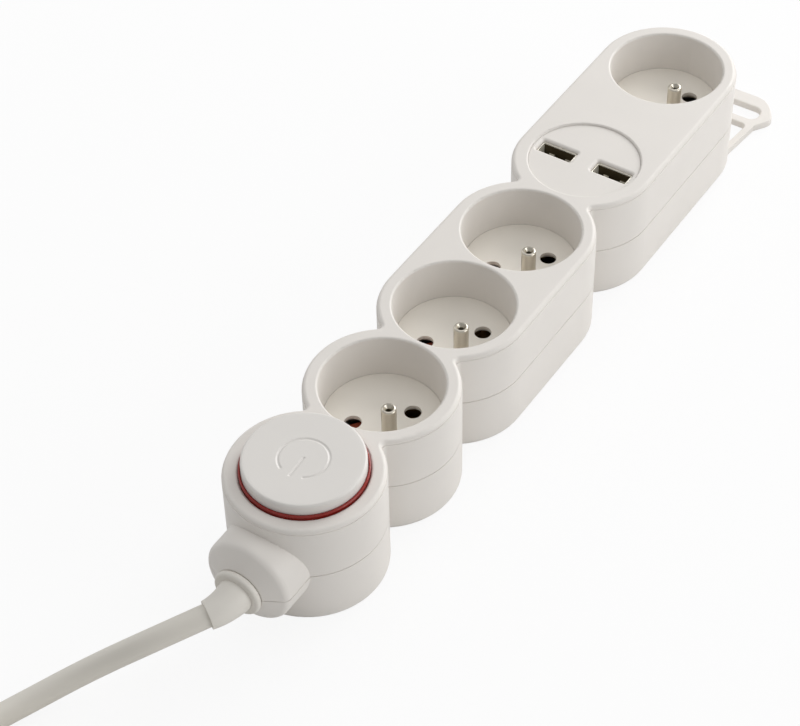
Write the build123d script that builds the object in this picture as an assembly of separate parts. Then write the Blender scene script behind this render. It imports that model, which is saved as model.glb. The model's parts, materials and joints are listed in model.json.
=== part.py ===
from build123d import *
import math
import os

# Four-way power strip with two USB charging ports and a push switch, in millimetres.
# The origin is the middle of the housing's base, +X runs from the switch to the far end
# and +Z is up. The cable leaves at the switch end, along -X.

# Housing
lobe_radius = 24.6
lobe_pitch = 41.5
end_pitch = 58.5
housing_height = 40.0
parting_height = housing_height / 2
side_wall = 1.8
deck_thickness = 2.0
base_thickness = 2.0
waist_round = 1.5
crown_round = 1.3
crown_height = 1.6
crown_step = 0.2
base_round = 1.8
seam_width = 0.3
seam_depth = 0.25
seam_lip = 0.8
seam_lip_height = 1.2
fit_gap = 0.1

# Socket cups
cup_radius = 19.75
cup_draft = 0.75
cup_depth = 15.0
cup_wall = 1.5
cup_lip_round = 0.8
cup_floor = 2.0
cup_flange = 1.2
pin_pitch = 19.0
pin_hole_radius = 2.75
pin_hole_wall = 1.3
pin_well_radius = 4.2
pin_angle = -45.0
earth_radius = 2.4
earth_offset = 10.0
earth_angle = -135.0
earth_reach = 14.3
earth_shank_radius = 2.0
earth_shoulder = 0.2
earth_tip_hole = 0.8
earth_tip_round = 0.7
earth_funnel_radius = 1.6
earth_funnel_depth = 1.1
earth_foot = 1.0
earth_collar_radius = 3.4
earth_collar = 1.4

# Safety shutters
shutter_thickness = 1.6
shutter_gap = 0.2
shutter_hub_radius = 4.2
shutter_arm_width = 7.2
shutter_arm_reach = 12.9
shutter_stub_reach = 8.2
shutter_rest = 8.0
pivot_radius = 1.85
pivot_snap = 0.4
pivot_snap_height = 0.8
pivot_length = 3.2

# Contact bars
bar_thickness = 0.8
bar_half_width = 2.4
bar_height = 4.0
tulip_radius = 3.4
tulip_bore = 2.35
tulip_top_gap = 0.8
tulip_slot = 1.4
tulip_root = 3.0
earth_bar_height = 9.0
earth_bar_half_width = 2.0
earth_tab_radius = 4.3
bar_lead = 14.0

# Push switch
button_radius = 18.8
button_rise = 4.5
button_edge = 2.0
button_travel = 3.0
button_wall = 1.6
button_skirt = 8.5
button_stem_radius = 4.0
button_symbol_radius = 7.4
button_symbol_line = 0.9
button_symbol_depth = 0.35
button_symbol_gap = 31.0
ring_gap = 0.2
ring_wall = 0.55
ring_rise = 0.6
ring_base = 1.2
ring_ledge = 4.2
well_floor = 1.2
well_depth = 9.0
module_length = 18.0
module_width = 11.0
module_height = 18.0
module_seat = 2.0
blade_reach = 1.3
blade_height = 8.0
plunger_radius = 2.6
spring_radius = 4.95
spring_wire = 0.7
spring_turns = 4.5
lamp_radius = 1.6
lamp_length = 6.0
lamp_offset = 7.2

# USB ports
usb_disc_radius = 19.0
usb_disc_sink = 0.8
usb_rim_round = 0.6
usb_disc_thickness = 2.0
usb_ledge = 1.1
usb_ring_depth = 5.0
port_offset = 10.6
port_length = 13.1
port_width = 5.5
port_metal = 0.3
port_sink = 2.1
port_height = 13.5
port_window_gap = 0.15
port_corner = 0.6
port_lip_round = 1.1
finger_bulge = 1.1
finger_width = 1.9
tongue_length = 10.8
tongue_thickness = 1.7
tongue_height = 10.3
board_thickness = 1.6
board_half_width = 13.0
board_lead = 17.0
board_tail = 33.0
transformer_size = (13.0, 14.0, 9.0)
transformer_offset = 24.0
capacitor_radius = 3.5
capacitor_height = 11.0
capacitor_offset = (11.5, 6.5)

# Screws and posts
screw_head_radius = 2.6
screw_head_height = 2.2
screw_shank_radius = 1.4
screw_length = 24.0
screw_sink = 1.2
screw_post_radius = 4.0
screw_boss_radius = 2.8
screw_boss_height = 11.0
screw_side = 17.5
switch_screw = (10.75, 14.0)
post_radius = 1.6
pillar_size = (3.0, 1.8)

# Cable entry
nose_radius = 14.6
nose_round = 2.5
nose_edge_reach = 31.0
nose_tip_reach = 34.7
nose_tip_radius = 8.0
nose_wall = 2.2
sleeve_collar_radius = 8.0
sleeve_collar_width = 2.2
sleeve_root_radius = 5.7
sleeve_tip_radius = 4.5
sleeve_straight = 2.5
sleeve_end = (-12.3, 2.8, -0.6)
sleeve_flange_radius = 7.2
sleeve_flange = 2.0
sleeve_neck = 2.6
cord_diameter = 7.4
clamp_width = 6.0
clamp_thickness = 3.0
clamp_span = 20.0
clamp_screw_side = 7.6
clamp_offset = 19.0
sheath_tail = 3.0
wire_radius = 1.1

# Hanging loop, moulded with the base at the far end
loop_thickness = 2.5
loop_reach = 46.6
loop_half_width = 27.2
loop_bar = 6.0
loop_slot = 7.5
loop_mid_bar = 3.5
loop_leg = 2.6
loop_root_half_width = 21.0
loop_corner = 9.0
loop_ear = 4.0
loop_soft = 0.5

# Cord put away in a coil beside the strip
coil_centre = (-265.0, 8.0)
coil_radius = 38.0
coil_columns = 3
coil_rows = 2
coil_soft = 3.0
plug_heading = 203.0
plug_relief_length = 20.0
plug_relief_radius = 5.6
plug_body_length = 32.0
plug_body_radius = 18.5
plug_flat = 13.5
plug_neck_radius = 10.0
plug_pin_radius = 2.4
plug_pin_length = 19.0
plug_earth_radius = 2.6
plug_earth_depth = 15.0

# The cable's route from the sleeve to the coil, point by point
cord_route = [
    (-170.46, 9.8, 17.9),
    (-186.0, 25.4, 8.8),
    (-204.0, 36.8, 3.7),
    (-222.0, 44.3, 3.7),
    (-254.3, 52.1, 3.7),
]
# The cable's last stretch, from the top of the coil to the plug beyond it
tail_route = [
    (-265.0, 53.4, 11.1),
    (-286.0, 52.8, 11.4),
    (-304.0, 48.5, 13.0),
    (-320.0, 41.7, 13.5),
]

# Places worked out from the sizes
first_socket_x = -1.5 * lobe_pitch - (end_pitch - lobe_pitch) / 2
socket_x = [first_socket_x + lobe_pitch * n for n in range(3)]
switch_x = first_socket_x - lobe_pitch
usb_x = socket_x[2] + lobe_pitch
socket_x.append(usb_x + end_pitch)
inner_radius = lobe_radius - side_wall
deck_underside = housing_height - deck_thickness
cup_floor_top = housing_height - cup_depth
cup_floor_under = cup_floor_top - cup_floor
flange_under = cup_floor_under - cup_flange
cup_outer_radius = cup_radius + cup_wall
cup_floor_radius = cup_radius - cup_draft
cup_flange_radius = lobe_pitch / 2 - fit_gap
half_pitch = pin_pitch / 2
neutral_offset = (
    half_pitch * math.cos(math.radians(pin_angle)),
    half_pitch * math.sin(math.radians(pin_angle)),
)
live_offset = (-neutral_offset[0], -neutral_offset[1])
earth_place = (
    earth_offset * math.cos(math.radians(earth_angle)),
    earth_offset * math.sin(math.radians(earth_angle)),
)
shutter_top = flange_under - shutter_gap
shutter_under = shutter_top - shutter_thickness
tulip_top = shutter_under - tulip_top_gap
ring_inner_radius = button_radius + ring_gap
ring_outer_radius = ring_inner_radius + ring_wall
well_radius = ring_outer_radius + fit_gap
well_floor_top = housing_height - well_depth
well_hole_radius = well_radius - ring_ledge
module_top = base_thickness + module_seat + module_height
button_top = housing_height + button_rise
plunger_top = module_top + button_travel + 1.5
board_top = housing_height - port_sink - port_height
board_under = board_top - board_thickness
disc_top = housing_height - usb_disc_sink
disc_under = disc_top - usb_disc_thickness
cord_radius = cord_diameter / 2
nose_tip_x = switch_x - nose_tip_reach
nose_edge_x = switch_x - nose_edge_reach
clamp_x = switch_x - clamp_offset
sheath_end_x = clamp_x + clamp_width / 2 + sheath_tail + 0.05
bar_start_x = socket_x[0] + live_offset[0] - bar_lead
coil_height = coil_rows * cord_diameter
coil_half_width = coil_columns * cord_diameter / 2
screw_places = [
    (switch_x + switch_screw[0], switch_screw[1]),
    ((socket_x[1] + socket_x[2]) / 2, screw_side),
    ((usb_x + socket_x[3]) / 2, screw_side),
]
screw_places += [(x, -y) for x, y in screw_places]
board_posts = [
    (usb_x + x, y)
    for x in (-board_lead + 5.0, board_tail - 3.0)
    for y in (-board_half_width + 2.0, board_half_width - 2.0)
]
clamp_posts = [(clamp_x, side * clamp_screw_side) for side in (-1, 1)]


def disc(x, y, z, radius, height):
    """An upright round block standing on height z."""
    return Pos(x, y, z) * extrude(Circle(radius), height)


def block(x, y, z, length, width, height):
    """A box centred on x and y, standing on height z."""
    return Pos(x, y, z + height / 2) * Box(length, width, height)


def row_plan(radius, waist=0.0):
    """Plan of the row of lobes: two single ones and two long ones, met at waists."""
    middle_x = (socket_x[1] + socket_x[2]) / 2
    far_x = (usb_x + socket_x[3]) / 2
    plan = Pos(switch_x, 0) * Circle(radius) + Pos(socket_x[0], 0) * Circle(radius)
    plan += Pos(middle_x, 0) * SlotCenterToCenter(lobe_pitch, 2 * radius)
    plan += Pos(far_x, 0) * SlotCenterToCenter(end_pitch, 2 * radius)
    if waist:
        waist_y = math.sqrt(radius**2 - (lobe_pitch / 2) ** 2)
        corners = [v for v in plan.vertices() if abs(abs(v.Y) - waist_y) < 0.01]
        plan = fillet(corners, waist)
    return plan


def nose_plan(grow):
    """Plan of the cable nose at the parting height, grown outwards by a distance."""
    edge_y = nose_radius + grow
    tip_y = nose_tip_radius + grow
    tip_x = nose_tip_x - grow
    outline = Polyline(
        (switch_x, edge_y),
        (nose_edge_x - grow / 2, edge_y),
        (tip_x, tip_y),
        (tip_x, -tip_y),
        (nose_edge_x - grow / 2, -edge_y),
        (switch_x, -edge_y),
        close=True,
    )
    plan = make_face(outline)
    edges = [v for v in plan.vertices() if abs(v.X - nose_edge_x + grow / 2) < 0.01]
    return fillet(edges, nose_round)


def nose_turned(shrink=0.0):
    """The round cable nose, turned about the cord's axis."""
    radius = nose_radius - shrink
    edge_x = nose_edge_x + shrink / 2
    outline = Polyline(
        (switch_x, 0),
        (switch_x, radius),
        (edge_x, radius),
        (nose_tip_x + shrink, nose_tip_radius - shrink / 4),
        (nose_tip_x + shrink, 0),
        close=True,
    )
    profile = make_face(outline)
    corner = [v for v in profile.vertices() if abs(v.X - edge_x) < 0.01 and v.Y > 1]
    profile = fillet(corner, nose_round - shrink / 2)
    profile = Plane.XZ * profile
    return Pos(0, 0, parting_height) * revolve(profile, Axis.X)


def seam_groove():
    """The fine groove that runs round the outside where the two halves meet."""
    outside = row_plan(lobe_radius + 2.0) + nose_plan(2.0)
    inside = row_plan(lobe_radius - seam_depth, waist_round) + nose_plan(-seam_depth)
    ring = extrude(outside - inside, seam_width)
    return Pos(0, 0, parting_height - seam_width / 2) * ring


def sleeve_passage():
    """The stepped hole through the nose that holds the cable sleeve."""
    hole = disc(0, 0, 0, sleeve_root_radius + fit_gap, nose_wall + sleeve_neck + 20)
    groove = disc(0, 0, sleeve_neck - fit_gap, sleeve_flange_radius + fit_gap, sleeve_flange + 2 * fit_gap)
    return Pos(nose_tip_x, 0, parting_height) * Rot(0, 90, 0) * (hole + groove)


def half_space(upper):
    """A large block above or below the parting height."""
    z = parting_height if upper else parting_height - 60
    return block(0, 0, z, 500, 120, 60)


def top_housing():
    """Upper shell: deck, crown edge, cup walls, switch well and USB seat."""
    crown_base = housing_height - crown_height
    body = Pos(0, 0, parting_height) * extrude(row_plan(lobe_radius, waist_round), crown_base - parting_height)
    crown = Pos(0, 0, crown_base) * extrude(row_plan(lobe_radius - crown_step, waist_round), crown_height)
    crown = fillet(crown.edges().group_by(Axis.Z)[-1], crown_round)
    body += crown
    body += nose_turned() & half_space(True)
    space = Pos(0, 0, parting_height) * extrude(row_plan(inner_radius), deck_underside - parting_height)
    shell = body - space - (nose_turned(nose_wall) & half_space(True))
    cup_base = cup_floor_under
    for x in socket_x:
        shell += disc(x, 0, cup_base, cup_outer_radius, deck_underside - cup_base + 1)
    shell += disc(usb_x, 0, housing_height - usb_ring_depth, usb_disc_radius + cup_wall, usb_ring_depth - 1)
    well_base = well_floor_top - well_floor
    shell += disc(switch_x, 0, well_base, well_radius + cup_wall, deck_underside - well_base + 1)
    cup_cone = Cone(cup_floor_radius, cup_radius + cup_draft / cup_depth, cup_depth + 1)
    for x, y in screw_places:
        boss_top = well_base + 0.5 if x < socket_x[0] else deck_underside + 0.5
        shell += disc(x, y, parting_height, screw_boss_radius, boss_top - parting_height)
    for x in socket_x:
        shell -= disc(x, 0, cup_base - 1, cup_floor_radius, cup_floor_top - cup_base + 1.5)
        shell -= Pos(x, 0, cup_floor_top + (cup_depth + 1) / 2) * cup_cone
    shell -= disc(usb_x, 0, 10, usb_disc_radius - usb_ledge, housing_height)
    shell -= disc(usb_x, 0, disc_under, usb_disc_radius, housing_height)
    shell -= disc(switch_x, 0, well_floor_top, well_radius, housing_height)
    shell -= disc(switch_x, 0, well_base - 1, well_hole_radius, housing_height)
    for x, y in screw_places:
        shell -= disc(x, y, parting_height - 1, screw_shank_radius - 0.1, screw_boss_height)
    rims = [
        e
        for e in shell.edges().filter_by(GeomType.CIRCLE)
        if abs(e.center().Z - housing_height) < 0.01 and abs(e.radius - cup_radius) < 0.02
    ]
    shell = fillet(rims, cup_lip_round)
    well_rims = [
        e
        for e in shell.edges().filter_by(GeomType.CIRCLE)
        if abs(e.center().Z - housing_height) < 0.01 and abs(e.radius - well_radius) < 0.01
    ]
    shell = fillet(well_rims, cup_lip_round)
    cover_rims = [
        e
        for e in shell.edges().filter_by(GeomType.CIRCLE)
        if abs(e.center().Z - housing_height) < 0.01 and abs(e.radius - usb_disc_radius) < 0.01
    ]
    shell = fillet(cover_rims, usb_rim_round)
    shell -= sleeve_passage()
    return shell - seam_groove()


def hanging_loop():
    """Flat loop at the far end: a crossbar, an inner bar and two legs to the wall."""
    centre_x = socket_x[3]
    reach_x = centre_x + loop_reach
    bar_x = reach_x - loop_bar
    mid_outer_x = bar_x - loop_slot
    mid_inner_x = mid_outer_x - loop_mid_bar
    knee_x = mid_inner_x + 0.5
    half = [
        (centre_x, loop_root_half_width - 1.2),
        (knee_x, loop_half_width - 4.4),
        (mid_outer_x + loop_slot / 2, loop_half_width),
        (reach_x, loop_half_width - 6.2),
    ]
    mirrored = [(x, -y) for x, y in reversed(half)]
    plan = make_face(Polyline(*half, *mirrored, close=True))
    ears = [v for v in plan.vertices() if abs(abs(v.Y) - loop_half_width) < 0.01]
    plan = fillet(ears, loop_ear)
    corners = [v for v in plan.vertices() if abs(v.X - reach_x) < 0.01]
    plan = fillet(corners, loop_corner)
    slot_half = loop_half_width - 5.5
    slot = Pos((bar_x + mid_outer_x) / 2, 0) * RectangleRounded(loop_slot, 2 * slot_half, loop_slot * 0.42)
    window_outer = loop_half_width - 4.4 - loop_leg
    window_inner = loop_root_half_width - 1.2 - loop_leg
    window = make_face(
        Polyline(
            (centre_x, window_inner),
            (mid_inner_x, window_outer),
            (mid_inner_x, -window_outer),
            (centre_x, -window_inner),
            close=True,
        )
    )
    far_corners = [v for v in window.vertices() if abs(v.X - mid_inner_x) < 0.01]
    window = fillet(far_corners, 2.0)
    plate = extrude(plan - slot - window, loop_thickness)
    plate = plate - disc(centre_x, 0, -1, lobe_radius - side_wall / 2, loop_thickness + 2)
    top_edges = plate.edges().group_by(Axis.Z)[-1]
    soft = [e for e in top_edges if (e @ 0.5).X > centre_x + lobe_radius + 1]
    return fillet(soft, loop_soft)


def bottom_housing():
    """Lower shell with its posts and ribs, the cable nose's lower half and the hanging loop."""
    body = extrude(row_plan(lobe_radius, waist_round), parting_height)
    body = fillet(body.edges().group_by(Axis.Z)[0], base_round)
    body += nose_turned() & half_space(False)
    room_height = parting_height - base_thickness
    space = Pos(0, 0, base_thickness) * extrude(row_plan(inner_radius), room_height)
    shell = body - space - (nose_turned(nose_wall) & half_space(False))
    shell += hanging_loop()
    lip_plan = row_plan(inner_radius + 0.3) - row_plan(inner_radius - seam_lip)
    lip = Pos(0, 0, parting_height - 2.0) * extrude(lip_plan, 2.0 + seam_lip_height)
    lip = lip & (Pos(0, 0, parting_height - 2.0) * extrude(row_plan(inner_radius), 2.0))
    lip += Pos(0, 0, parting_height - 0.5) * extrude(
        row_plan(inner_radius - fit_gap) - row_plan(inner_radius - seam_lip), 0.5 + seam_lip_height
    )
    lip = lip - nose_turned(nose_wall)
    shell += lip
    for x, y in screw_places:
        shell += disc(x, y, base_thickness - 0.5, screw_post_radius, room_height + 0.5) & (
            extrude(row_plan(inner_radius + 0.5), parting_height)
        )
    for x, y in board_posts:
        shell += disc(x, y, base_thickness - 0.5, post_radius, board_under - base_thickness + 0.5)
    for x in socket_x:
        for side in (-1, 1):
            pillar_y = side * (cup_flange_radius - pillar_size[1])
            height = flange_under - base_thickness + 0.5
            shell += block(x, pillar_y, base_thickness - 0.5, pillar_size[0], pillar_size[1], height)
    for x in rib_places():
        rib_width = 2 * (live_offset[1] + bar_half_width)
        shell += block(x, 0, base_thickness - 0.5, post_radius, rib_width, bar_height - base_thickness + 0.5)
        shell += block(x, 0, base_thickness, post_radius, 2 * earth_bar_half_width, earth_bar_height - base_thickness)
    for x in (switch_x - module_length / 4, switch_x + module_length / 4):
        shell += block(x, 0, base_thickness - 0.5, post_radius, module_width, module_seat + 0.5)
    for x, y in clamp_posts:
        shell += disc(x, y, base_thickness - 0.5, 2.6, parting_height + cord_radius - 1 - base_thickness)
    shell += block(clamp_x, 0, base_thickness - 0.5, clamp_width, 9.0, parting_height - cord_radius - base_thickness + 0.5)
    for x, y in screw_places:
        shell -= disc(x, y, -1, screw_head_radius + 0.2, 1 + screw_sink + screw_head_height)
        shell -= disc(x, y, 0, screw_shank_radius + 0.2, parting_height + 1)
    for x, y in clamp_posts:
        shell -= disc(x, y, parting_height - 8, screw_shank_radius - 0.3, 20)
    shell -= sleeve_passage()
    return shell - seam_groove()


def rib_places():
    """Where the ribs that carry the contact bars stand, one in each clear bay."""
    first = (switch_x + socket_x[0]) / 2 + 2.0
    inner = [(a + b) / 2 for a, b in zip(socket_x[:2], socket_x[1:3])]
    return [first] + inner + [(socket_x[2] + usb_x) / 2, (usb_x + socket_x[3]) / 2 - 4.0]


def socket_floor(x):
    """Floor of one cup, with its pin holes, earth hole and the shutter's pivot."""
    floor = disc(0, 0, cup_floor_under, cup_floor_radius - fit_gap, cup_floor)
    floor += disc(0, 0, flange_under, cup_flange_radius, cup_flange)
    floor += disc(0, 0, flange_under - pivot_length, pivot_radius, pivot_length)
    floor += disc(0, 0, flange_under - pivot_length, pivot_radius + pivot_snap, pivot_snap_height)
    for px, py in (live_offset, neutral_offset):
        floor -= disc(px, py, 0, pin_hole_radius, housing_height)
        floor -= disc(px, py, 0, pin_well_radius, cup_floor_top - pin_hole_wall)
    floor -= disc(*earth_place, 0, earth_shank_radius + fit_gap, housing_height)
    return Pos(x, 0, 0) * floor


def earth_pin(x):
    """Rolled earth pin with a domed, hollow tip and a collar that sits on the earth bar."""
    foot = earth_bar_height - earth_foot
    tip = cup_floor_top + earth_reach
    shoulder = cup_floor_top + earth_shoulder
    pin = disc(0, 0, foot, earth_shank_radius, shoulder - foot)
    pin += disc(0, 0, shoulder, earth_radius, tip - shoulder)
    pin = fillet(pin.edges().group_by(Axis.Z)[-1], earth_tip_round)
    pin += disc(0, 0, earth_bar_height + bar_thickness, earth_collar_radius, earth_collar)
    pin -= disc(0, 0, tip - 5, earth_tip_hole, 6)
    pin -= Pos(0, 0, tip - earth_funnel_depth / 2 + 0.01) * Cone(earth_tip_hole, earth_funnel_radius, earth_funnel_depth)
    return Pos(x + earth_place[0], earth_place[1], 0) * pin


def shutter(x):
    """Two-armed shutter that turns about the cup's axis and uncovers both pin holes."""
    turn = pin_angle + shutter_rest
    plan = Circle(shutter_hub_radius)
    arm = SlotOverall(shutter_arm_reach + shutter_hub_radius, shutter_arm_width)
    plan += Rot(0, 0, turn + 180) * Pos((shutter_arm_reach - shutter_hub_radius) / 2, 0) * arm
    stub = SlotOverall(shutter_stub_reach + shutter_hub_radius, shutter_arm_width)
    plan += Rot(0, 0, turn) * Pos((shutter_stub_reach - shutter_hub_radius) / 2, 0) * stub
    plate = extrude(plan, shutter_thickness)
    plate -= extrude(Circle(pivot_radius + fit_gap), shutter_thickness)
    return Pos(x, 0, shutter_under) * plate


def tulip(x, y):
    """Sprung tulip that grips one plug pin: a slit tube on the bar."""
    height = tulip_top - bar_height
    tube = disc(x, y, bar_height, tulip_radius, height)
    tube -= disc(x, y, bar_height + bar_thickness, tulip_bore, height)
    slot_height = height - tulip_root
    for turn in (0, 90):
        slit = Rot(0, 0, turn) * block(0, 0, 0, 3 * tulip_radius, tulip_slot, slot_height)
        tube -= Pos(x, y, bar_height + tulip_root) * slit
    return tube


def contact_bar(offset):
    """Flat bar with one tulip for each socket."""
    start = bar_start_x
    end = socket_x[3] + offset[0]
    bar = block((start + end) / 2, offset[1], bar_height, end - start, 2 * bar_half_width, bar_thickness)
    for x in socket_x:
        bar += tulip(x + offset[0], offset[1])
    return bar


def earth_bar():
    """Flat earth bar with a round tab under each earth pin."""
    start = bar_start_x
    end = socket_x[3] + earth_place[0] + earth_tab_radius
    bar = block((start + end) / 2, 0, earth_bar_height, end - start, 2 * earth_bar_half_width, bar_thickness)
    for x in socket_x:
        px = x + earth_place[0]
        bar += block(px, earth_place[1] / 2, earth_bar_height, 5.0, -earth_place[1], bar_thickness)
        bar += disc(px, earth_place[1], earth_bar_height, earth_tab_radius, bar_thickness)
    for x in socket_x:
        bar -= disc(x + earth_place[0], earth_place[1], 0, earth_shank_radius + 0.05, housing_height)
    return bar


def push_button():
    """Round cap with a hollow skirt, a stem and an engraved power sign."""
    skirt_base = button_top - button_skirt
    cap = disc(0, 0, skirt_base, button_radius, button_skirt)
    cap = chamfer(cap.edges().group_by(Axis.Z)[-1], button_edge * 0.55, button_edge * 0.9)
    ridge = [e for e in cap.edges().filter_by(GeomType.CIRCLE) if e.center().Z > skirt_base + 1]
    cap = fillet(ridge, 0.6)
    cap -= disc(0, 0, skirt_base - 1, button_radius - button_wall, button_skirt - button_wall - button_edge * 0.5 + 1)
    cap += disc(0, 0, plunger_top, button_stem_radius, button_top - button_wall - plunger_top)
    ring = Circle(button_symbol_radius + button_symbol_line / 2)
    ring -= Circle(button_symbol_radius - button_symbol_line / 2)
    reach = 3 * button_symbol_radius
    rise = reach * math.tan(math.radians(button_symbol_gap))
    ring -= make_face(Polyline((0, 0), (-reach, rise), (-reach, -rise), close=True))
    bar = Pos(-button_symbol_radius / 2, 0) * SlotOverall(
        button_symbol_radius + button_symbol_line, button_symbol_line
    )
    sign = Pos(0, 0, button_top - button_symbol_depth) * extrude(ring + bar, 2)
    return Pos(switch_x, 0, 0) * (cap - sign)


def light_ring():
    """Red light ring between the button and the well, with the foot it stands on."""
    height = housing_height + ring_rise - well_floor_top
    ring = disc(0, 0, well_floor_top, ring_outer_radius, height)
    ring = fillet(ring.edges().group_by(Axis.Z)[-1], 0.2)
    ring -= disc(0, 0, well_floor_top + ring_base, ring_inner_radius, height)
    ring -= disc(0, 0, 0, well_hole_radius + fit_gap, housing_height)
    return Pos(switch_x, 0, 0) * ring


def button_spring():
    """Coil spring round the stem, from the switch module to the cap."""
    bottom = module_top
    top = button_top - button_wall - button_edge * 0.5
    length = top - bottom - spring_wire - 0.1
    path = Helix(pitch=length / spring_turns, height=length, radius=spring_radius)
    start = path @ 0
    wire = Plane(origin=start, z_dir=path % 0, x_dir=(1, 0, 0)) * Rectangle(spring_wire, spring_wire)
    coil = sweep(wire, path=path, is_frenet=True)
    return Pos(switch_x, 0, bottom + spring_wire / 2 + 0.05) * coil


def switch_module():
    """Body of the double-pole switch, open at the top round its plunger."""
    base = base_thickness + module_seat
    body = block(switch_x, 0, base, module_length, module_width, module_height)
    body = fillet(body.edges().filter_by(Axis.Z), 0.8)
    body -= disc(switch_x, 0, module_top - 6, plunger_radius + fit_gap, 7)
    return body


def switch_plunger():
    """Plunger that the button's stem presses into the switch module."""
    base = module_top - 6 + button_travel + 0.2
    return disc(switch_x, 0, base, plunger_radius, plunger_top - base)


def switch_terminals():
    """Four blades at the sides of the switch module, two for each pole."""
    blades = []
    for dx in (-1, 1):
        for side in (-1, 1):
            y = side * (module_width / 2 + blade_reach)
            x = switch_x + dx * module_length * 0.3
            blades.append(block(x, y, blade_height, 4.0, 2 * blade_reach, bar_thickness))
    return Compound(children=blades)


def indicator_lamp():
    """Small lamp that lights the ring, standing on the switch module."""
    x = switch_x + lamp_offset
    lamp = disc(x, 0, module_top, lamp_radius, lamp_length)
    lamp = fillet(lamp.edges().group_by(Axis.Z)[-1], lamp_radius * 0.9)
    return lamp


def port_places():
    return [(usb_x, side * port_offset) for side in (-1, 1)]


def usb_cover():
    """Round plate sunk in the deck, with a window for each port."""
    plate = disc(usb_x, 0, disc_under, usb_disc_radius - fit_gap, usb_disc_thickness)
    for x, y in port_places():
        length = port_width + 2 * port_window_gap
        width = port_length + 2 * port_window_gap
        window = Pos(x, y) * RectangleRounded(length, width, port_corner)
        plate -= extrude(window, housing_height)
    lips = [e for e in plate.edges().group_by(Axis.Z)[-1] if abs((e @ 0.5).X - usb_x) < port_width]
    return fillet(lips, port_lip_round)


def usb_shell(x, y):
    """Metal shell of one port, a thin tube with two bent fingers in its far long wall."""
    outside = RectangleRounded(port_width, port_length, port_corner)
    inside = RectangleRounded(port_width - 2 * port_metal, port_length - 2 * port_metal, port_corner - 0.2)
    tube = extrude(outside - inside, port_height)
    wall = port_width / 2 - port_metal
    bend = Polyline(
        (wall + 0.2, port_height - 2.9),
        (wall, port_height - 3.2),
        (wall - finger_bulge, port_height - 4.9),
        (wall - finger_bulge + 0.1, port_height - 6.2),
        (wall - finger_bulge + 0.4, port_height - 6.2),
        (wall - finger_bulge + 0.35, port_height - 5.0),
        (wall + 0.2, port_height - 3.6),
        close=True,
    )
    finger = Pos(0, finger_width / 2, 0) * extrude(Plane.XZ * make_face(bend), finger_width)
    for side in (-1, 1):
        finger_y = side * port_length * 0.24
        tube -= block(wall, finger_y, port_height - 7.5, 1.0, finger_width + 0.7, 4.0)
        tube += Pos(0, finger_y, 0) * finger
    return Pos(x, y, board_top) * tube


def usb_tongue(x, y):
    """Plastic tongue low inside one port, by its near wall."""
    tongue_x = x - port_width / 2 + port_metal + tongue_thickness / 2 + 0.6
    return block(tongue_x, y, board_top, tongue_thickness, tongue_length, tongue_height)


def charger_board():
    """Circuit board under the USB ports."""
    middle_x = usb_x + (board_tail - board_lead) / 2
    board = block(middle_x, 0, board_under, board_lead + board_tail, 2 * board_half_width, board_thickness)
    corners = board.edges().filter_by(Axis.Z)
    return chamfer(corners, 3.0)


def transformer():
    length, width, height = transformer_size
    core = block(usb_x + transformer_offset, 0, board_top, length, width, height)
    return chamfer(core.edges().filter_by(Axis.Z), 1.0)


def capacitors():
    cans = []
    for side in (-1, 1):
        can = disc(usb_x + capacitor_offset[0], side * capacitor_offset[1], board_top, capacitor_radius, capacitor_height)
        cans.append(fillet(can.edges().group_by(Axis.Z)[-1], 0.5))
    return Compound(children=cans)


def case_screws():
    """Six pan-head screws that pull the lower shell up against the bosses."""
    screws = []
    for x, y in screw_places:
        screw = disc(x, y, screw_sink, screw_head_radius, screw_head_height)
        screw += disc(x, y, screw_sink + screw_head_height, screw_shank_radius - 0.15, screw_length)
        screw -= block(x, y, screw_sink - 1, 3.4, 0.9, 1.9)
        screw -= block(x, y, screw_sink - 1, 0.9, 3.4, 1.9)
        screws.append(screw)
    return Compound(children=screws)


def cord_clamp():
    """Bridge that presses the cable's sheath on its rest."""
    base = parting_height + cord_radius - 1.4
    bar = block(clamp_x, 0, base, clamp_width, clamp_span, clamp_thickness)
    sheath = Pos(clamp_x, 0, parting_height) * Rot(0, 90, 0) * Cylinder(cord_radius + 0.02, 2 * clamp_width)
    bar -= sheath
    for x, y in clamp_posts:
        bar -= disc(x, y, 0, screw_shank_radius, 60)
    return bar


def clamp_screws():
    screws = []
    base = parting_height + cord_radius - 1.4 + clamp_thickness
    for x, y in clamp_posts:
        screw = disc(x, y, base, 2.4, 1.8)
        screw += disc(x, y, base - 8, screw_shank_radius - 0.35, 8)
        screw -= block(x, y, base + 1, 3.6, 0.8, 2)
        screws.append(screw)
    return Compound(children=screws)


def sleeve_bend():
    """Centre line of the sleeve's outer end: out of the nose, then bent by the cable."""
    root = (nose_tip_x - sleeve_straight, 0, parting_height)
    tip = (nose_tip_x + sleeve_end[0], sleeve_end[1], parting_height + sleeve_end[2])
    return TangentArc(root, tip, tangent=(-1, 0, 0))


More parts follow.
